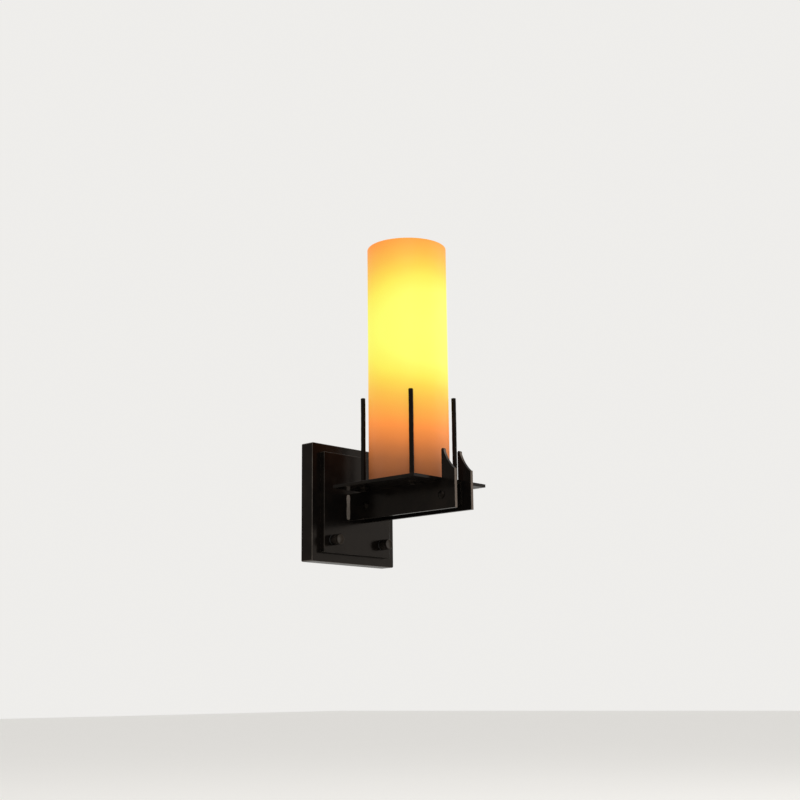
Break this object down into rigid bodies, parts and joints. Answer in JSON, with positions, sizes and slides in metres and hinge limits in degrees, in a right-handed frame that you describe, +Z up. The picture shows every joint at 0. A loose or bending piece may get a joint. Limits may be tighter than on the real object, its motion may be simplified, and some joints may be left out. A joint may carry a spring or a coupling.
{
  "type": "torch wall sconce",
  "caption": "Black iron torch wall sconce: square wall box, two-bar horned arm, square tray with upright rods and a tall straight opal glass tube that lifts off.",
  "frame": {"origin": "centre of the wall box's open back, in the wall's plane, midway between the two slots of the hanging bracket", "axes": "+X to the right of someone facing the wall, +Y into the wall, +Z up along the glass tube"},
  "size_m": [0.147, 0.202, 0.394],
  "materials": {
    "black_iron": "satin black paint over steel",
    "zinc_steel": "bright zinc plating",
    "brass": "plain brass",
    "bakelite": "moulded black phenolic",
    "ceramic": "unglazed white steatite",
    "white_nylon": "natural white nylon",
    "black_rubber": "matt moulded rubber",
    "clear_silicone": "translucent silicone",
    "opal_glass": "satin opal glass, lit from inside",
    "frosted_glass": "inside-frosted glass, lit",
    "stem_glass": "clear glass",
    "end_glass": "black glass insulator",
    "nickel_cap": "nickel-plated brass",
    "solder": "dull solder",
    "tungsten": "drawn wire"
  },
  "bodies": {
    "root": {"wall_bracket": "zinc_steel", "bracket_studs": "zinc_steel", "stud_lock_nuts": "zinc_steel", "terminal_block": "white_nylon", "terminal_tubes": "brass", "terminal_screws": "zinc_steel", "terminal_block_screws": "zinc_steel", "earth_screw": "brass", "earth_washer": "brass", "wall_pan": "black_iron", "face_panel": "black_iron", "panel_nuts": "zinc_steel", "cable_grommet": "black_rubber", "arm_side_left": "black_iron", "arm_side_right": "black_iron", "arm_weld_beads": "black_iron", "tie_bolts": "black_iron", "tie_cap_nuts": "black_iron", "tray_carrier": "black_iron", "tray_plate": "black_iron", "tray_screws": "zinc_steel", "tray_screw_nuts": "zinc_steel", "rod_front_left": "black_iron", "rod_front_right": "black_iron", "rod_rear_left": "black_iron", "rod_rear_right": "black_iron", "rod_washers": "black_iron", "rod_nuts": "black_iron", "stem_nipple": "zinc_steel", "nipple_washer": "zinc_steel", "nipple_nut": "zinc_steel", "stem_sleeve": "black_iron", "holder_cap": "bakelite", "holder_skirt": "bakelite", "holder_insert": "ceramic", "holder_shell": "brass", "holder_tongue": "brass", "holder_screws": "zinc_steel", "glass_seat": "clear_silicone"},
    "glass": {"glass_shade": "opal_glass"},
    "bulb_tip": {"bulb_contact": "solder"},
    "bulb": {"bulb_end_glass": "end_glass", "bulb_cap": "nickel_cap", "bulb_globe": "frosted_glass", "bulb_stem": "stem_glass", "bulb_filament": "tungsten"},
    "washer_left": {"nut_washer_left": "black_rubber"},
    "nut_left": {"thumb_nut_left": "black_iron"},
    "washer_right": {"nut_washer_right": "black_rubber"},
    "nut_right": {"thumb_nut_right": "black_iron"}
  },
  "joints": [
    {"name": "glass_lift", "type": "slide", "parent": "root", "child": "glass", "axis": [0, 0, 1], "range_m": [0, 0.225]},
    {"name": "bulb_travel", "type": "slide", "parent": "root", "child": "bulb_tip", "axis": [0, 0, 1], "range_m": [0, 0.011]},
    {"name": "bulb_turn", "type": "hinge", "parent": "bulb_tip", "child": "bulb", "pos_m": [0, -0.115, 0.127], "axis": [0, 0, 1], "range_deg": [0, 1080]},
    {"name": "nut_left_travel", "type": "slide", "parent": "root", "child": "washer_left", "axis": [0, -1, 0], "range_m": [0, 0.0085]},
    {"name": "nut_left_turn", "type": "hinge", "parent": "washer_left", "child": "nut_left", "pos_m": [-0.044, -0.026, -0.047], "axis": [0, -1, 0], "range_deg": [0, 4320]},
    {"name": "nut_right_travel", "type": "slide", "parent": "root", "child": "washer_right", "axis": [0, -1, 0], "range_m": [0, 0.0085]},
    {"name": "nut_right_turn", "type": "hinge", "parent": "washer_right", "child": "nut_right", "pos_m": [0.044, -0.026, -0.047], "axis": [0, -1, 0], "range_deg": [0, 4320]}
  ],
  "couplings": [
    {"joint": "bulb_travel", "follows": "bulb_turn", "m_per_rad": 0.00057773},
    {"joint": "nut_left_travel", "follows": "nut_left_turn", "m_per_rad": 0.00011141},
    {"joint": "nut_right_travel", "follows": "nut_right_turn", "m_per_rad": 0.00011141}
  ]
}
